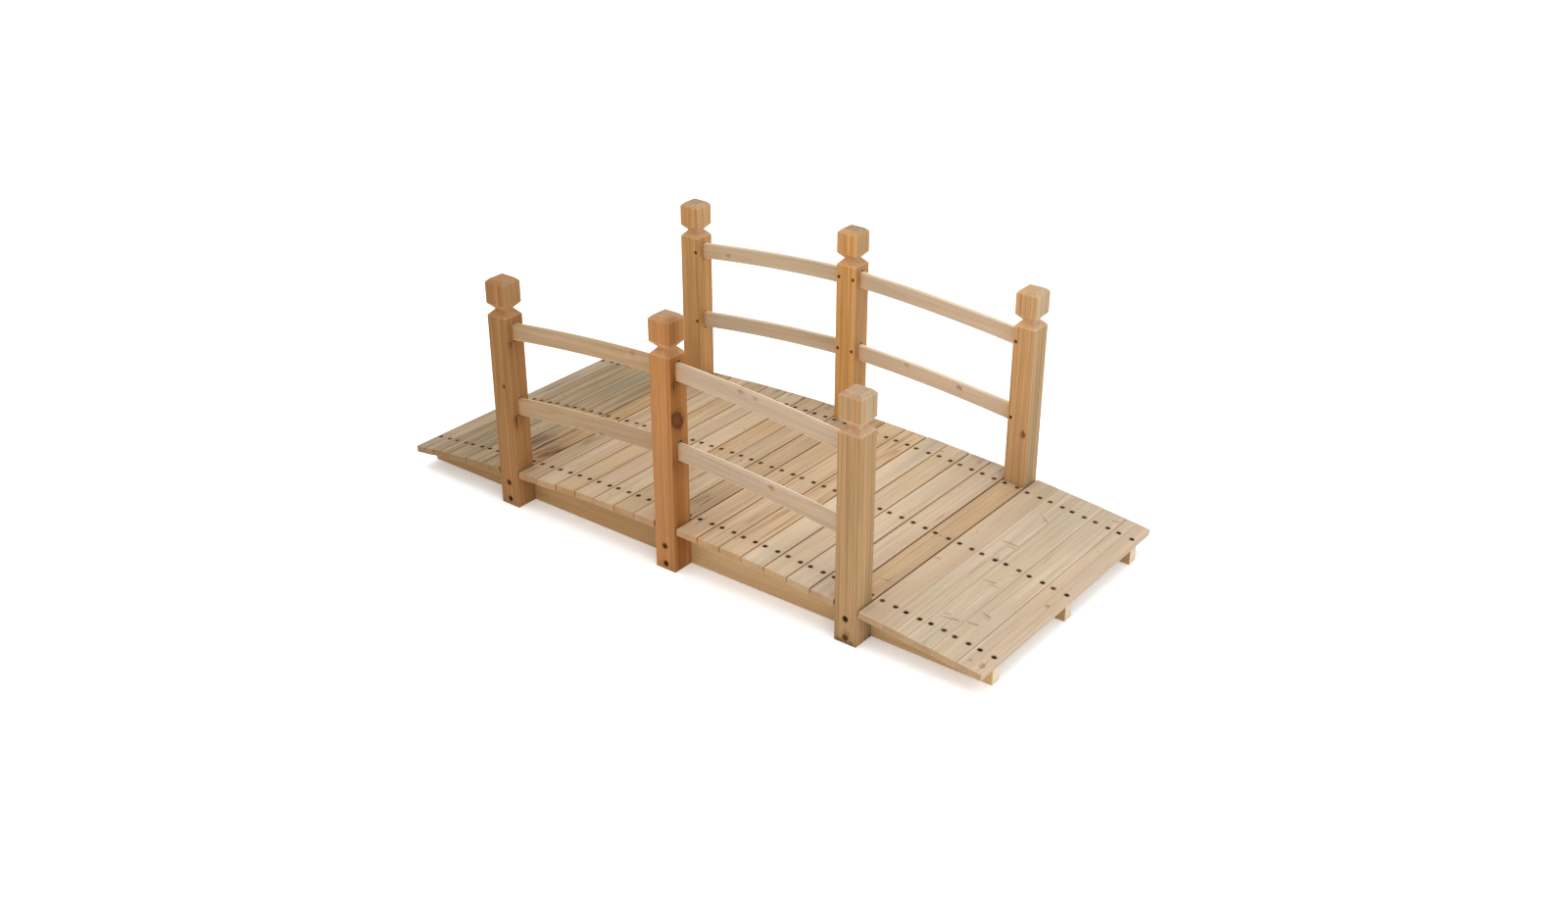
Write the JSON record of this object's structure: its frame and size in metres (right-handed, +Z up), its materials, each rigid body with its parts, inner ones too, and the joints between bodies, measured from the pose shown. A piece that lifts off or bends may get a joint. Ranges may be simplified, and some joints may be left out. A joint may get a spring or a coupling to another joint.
{
  "type": "arched garden footbridge",
  "caption": "Small arched wooden garden footbridge with a cross-plank deck, square posts with grooved finials, and curved upper and lower rails on both sides.",
  "frame": {"origin": "on the ground under the middle of the bridge", "axes": "+X along the walkway towards the right-hand end in the picture, +Y across it away from the viewer, +Z up"},
  "size_m": [1.4992, 0.67, 0.555],
  "materials": {
    "post_wood": "planed fir, warm orange tan, lightly oiled",
    "rail_wood": "planed fir, pale pinkish beige, lightly oiled",
    "stringer_wood": "planed fir, warm beige, lightly oiled",
    "deck_wood": "planed fir, pale straw beige, lightly oiled"
  },
  "bodies": {
    "root": {"post_front_left": "post_wood", "post_front_mid": "post_wood", "post_front_right": "post_wood", "post_back_left": "post_wood", "post_back_mid": "post_wood", "post_back_right": "post_wood", "rail_front_left_upper": "rail_wood", "rail_front_left_lower": "rail_wood", "rail_front_right_upper": "rail_wood", "rail_front_right_lower": "rail_wood", "rail_back_left_upper": "rail_wood", "rail_back_left_lower": "rail_wood", "rail_back_right_upper": "rail_wood", "rail_back_right_lower": "rail_wood", "stringer_front": "stringer_wood", "stringer_mid": "stringer_wood", "stringer_back": "stringer_wood", "plank_01": "deck_wood", "plank_02": "deck_wood", "plank_03": "deck_wood", "plank_04": "deck_wood", "plank_05": "deck_wood", "plank_06": "deck_wood", "plank_07": "deck_wood", "plank_08": "deck_wood", "plank_09": "deck_wood", "plank_10": "deck_wood", "plank_11": "deck_wood", "plank_12": "deck_wood", "plank_13": "deck_wood", "plank_14": "deck_wood", "plank_15": "deck_wood", "plank_16": "deck_wood", "plank_17": "deck_wood", "plank_18": "deck_wood", "plank_19": "deck_wood", "plank_20": "deck_wood", "plank_21": "deck_wood", "plank_22": "deck_wood", "plank_23": "deck_wood", "plank_24": "deck_wood", "plank_25": "deck_wood", "plank_26": "deck_wood", "plank_27": "deck_wood"}
  },
  "joints": []
}
